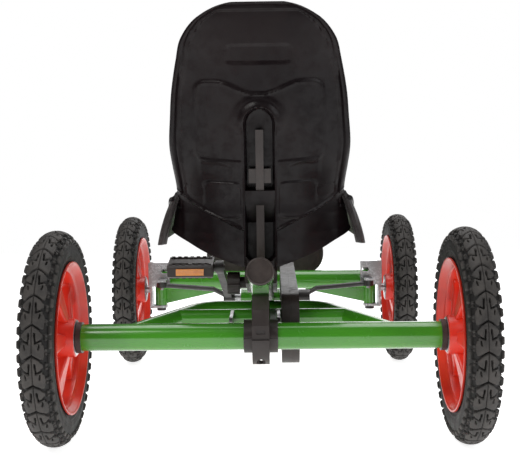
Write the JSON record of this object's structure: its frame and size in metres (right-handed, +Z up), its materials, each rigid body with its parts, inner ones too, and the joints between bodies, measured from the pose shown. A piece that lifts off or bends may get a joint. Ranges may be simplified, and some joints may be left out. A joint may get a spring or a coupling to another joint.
{
  "type": "pedal go kart",
  "caption": "Child's pedal go kart with a green tube frame, a black bucket seat, knobbly air tyres on red rims, chain drive to the rear axle and rod steering.",
  "frame": {"origin": "on the ground, midway between the axles and midway between left and right", "axes": "+X to the driver's right, +Y forward, +Z up"},
  "size_m": [0.6548, 1.0078, 0.6502],
  "materials": {
    "green_paint": "glossy powder coat",
    "black_plastic": "fine moulded texture",
    "seat_plastic": "satin moulded polypropylene",
    "red_plastic": "satin moulded nylon",
    "tyre_rubber": "matte vulcanised rubber",
    "zinc_steel": "zinc plated",
    "black_steel": "black semi-gloss coat",
    "amber_lens": "ribbed reflector lens",
    "chain_steel": "oiled steel",
    "grip_rubber": "soft grip rubber"
  },
  "bodies": {
    "frame": {"main_tube": "green_paint", "tube_end_cap": "black_plastic", "rear_post": "green_paint", "rear_axle_tube_left": "green_paint", "rear_axle_tube_right": "green_paint", "rear_hoop": "green_paint", "chain_case_upper": "black_plastic", "chain_case_lower": "black_plastic", "chain_case_bolts": "zinc_steel", "rear_bearings": "zinc_steel", "axle_seals": "grip_rubber", "hub_bracket": "zinc_steel", "chain_guard_inner": "black_plastic", "chain_guard_outer": "black_plastic", "guard_screws": "zinc_steel", "long_chain": "chain_steel", "short_chain": "chain_steel", "bottom_bracket_shell": "green_paint", "crank_bearings": "zinc_steel", "steering_head": "green_paint", "steering_bushes": "black_plastic", "nose_fairing": "black_plastic", "front_pivot_pin": "zinc_steel"},
    "crank": {"crank_axle": "zinc_steel", "chainring": "chain_steel", "crank_arm_left": "black_steel", "crank_arm_right": "black_steel"},
    "pedal_left": {"pedal_left": "black_plastic", "reflectors_left": "amber_lens"},
    "pedal_right": {"pedal_right": "black_plastic", "reflectors_right": "amber_lens"},
    "hub": {"hub_drum": "black_steel", "hub_sprockets": "chain_steel"},
    "rear_axle": {"rear_axle_shaft": "zinc_steel", "axle_sprocket": "chain_steel", "rear_axle_nuts": "zinc_steel", "rim_rear_right": "red_plastic", "tyre_rear_right": "tyre_rubber"},
    "rear_wheel_left": {"rim_rear_left": "red_plastic", "tyre_rear_left": "tyre_rubber"},
    "front_axle": {"front_axle_beam": "green_paint", "kingpins": "black_steel"},
    "knuckle_left": {"knuckle_left": "zinc_steel", "front_nut_left": "zinc_steel"},
    "knuckle_right": {"knuckle_right": "zinc_steel", "front_nut_right": "zinc_steel"},
    "front_wheel_left": {"rim_front_left": "red_plastic", "tyre_front_left": "tyre_rubber"},
    "front_wheel_right": {"rim_front_right": "red_plastic", "tyre_front_right": "tyre_rubber"},
    "tie_rod_left": {"tie_rod_left": "black_steel"},
    "tie_rod_right": {"tie_rod_right": "black_steel"},
    "steering_column": {"steering_column_lower": "black_steel"},
    "steering_upper": {"steering_column_upper": "zinc_steel", "steering_wheel": "grip_rubber"},
    "seat": {"seat_shell": "seat_plastic", "seat_skirt": "seat_plastic", "seat_carrier": "black_steel", "seat_frame": "black_steel"},
    "seat_knob": {"seat_knob": "black_plastic"}
  },
  "joints": [
    {"name": "front_axle_swing", "type": "hinge", "parent": "frame", "child": "front_axle", "pos_m": [0, 0.345, 0.177], "axis": [0, 1, 0], "range_deg": [-3, 3]},
    {"name": "steering_turn", "type": "hinge", "parent": "frame", "child": "steering_column", "pos_m": [0, 0.304, 0.159], "axis": [0, -0.4695, 0.8829], "range_deg": [-40, 40]},
    {"name": "steering_height", "type": "slide", "parent": "steering_column", "child": "steering_upper", "axis": [0, -0.4695, 0.8829], "range_m": [0, 0.06]},
    {"name": "knuckle_left_turn", "type": "hinge", "parent": "front_axle", "child": "knuckle_left", "pos_m": [-0.228, 0.345, 0.159], "axis": [0, 0, 1], "range_deg": [-24, 24]},
    {"name": "knuckle_right_turn", "type": "hinge", "parent": "front_axle", "child": "knuckle_right", "pos_m": [0.228, 0.345, 0.159], "axis": [0, 0, 1], "range_deg": [-24, 24]},
    {"name": "tie_rod_left_swing", "type": "hinge", "parent": "knuckle_left", "child": "tie_rod_left", "pos_m": [-0.219, 0.277, 0.174], "axis": [0, 0, 1], "range_deg": [-24, 24]},
    {"name": "tie_rod_right_swing", "type": "hinge", "parent": "knuckle_right", "child": "tie_rod_right", "pos_m": [0.219, 0.277, 0.174], "axis": [0, 0, 1], "range_deg": [-24, 24]},
    {"name": "front_wheel_left_spin", "type": "hinge", "parent": "knuckle_left", "child": "front_wheel_left", "pos_m": [-0.2895, 0.345, 0.159], "axis": [-1, 0, 0], "continuous": true},
    {"name": "front_wheel_right_spin", "type": "hinge", "parent": "knuckle_right", "child": "front_wheel_right", "pos_m": [0.2895, 0.345, 0.159], "axis": [-1, 0, 0], "continuous": true},
    {"name": "rear_axle_spin", "type": "hinge", "parent": "frame", "child": "rear_axle", "pos_m": [0, -0.345, 0.159], "axis": [-1, 0, 0], "continuous": true},
    {"name": "rear_wheel_left_spin", "type": "hinge", "parent": "rear_axle", "child": "rear_wheel_left", "pos_m": [-0.301, -0.345, 0.159], "axis": [-1, 0, 0], "continuous": true},
    {"name": "hub_spin", "type": "hinge", "parent": "frame", "child": "hub", "pos_m": [0, -0.269, 0.16], "axis": [-1, 0, 0], "continuous": true},
    {"name": "crank_spin", "type": "hinge", "parent": "frame", "child": "crank", "pos_m": [0, 0.12, 0.164], "axis": [-1, 0, 0], "continuous": true},
    {"name": "pedal_left_spin", "type": "hinge", "parent": "crank", "child": "pedal_left", "pos_m": [-0.136, 0.03898, 0.23079], "axis": [-1, 0, 0], "continuous": true},
    {"name": "pedal_right_spin", "type": "hinge", "parent": "crank", "child": "pedal_right", "pos_m": [0.146, 0.20102, 0.09721], "axis": [-1, 0, 0], "continuous": true},
    {"name": "seat_slide", "type": "slide", "parent": "frame", "child": "seat", "axis": [0, 0.979, -0.2036], "range_m": [0, 0.07]},
    {"name": "seat_knob_turn", "type": "hinge", "parent": "seat", "child": "seat_knob", "pos_m": [-0.045, -0.22814, 0.22645], "axis": [-1, 0, 0], "range_deg": [-170, 170]}
  ],
  "couplings": [
    {"joint": "hub_spin", "follows": "rear_axle_spin", "ratio": 0.78571},
    {"joint": "crank_spin", "follows": "rear_axle_spin", "ratio": 0.56122},
    {"joint": "knuckle_left_turn", "follows": "steering_turn", "ratio": 0.58},
    {"joint": "knuckle_right_turn", "follows": "steering_turn", "ratio": 0.58},
    {"joint": "tie_rod_left_swing", "follows": "steering_turn", "ratio": -0.58},
    {"joint": "tie_rod_right_swing", "follows": "steering_turn", "ratio": -0.58}
  ]
}
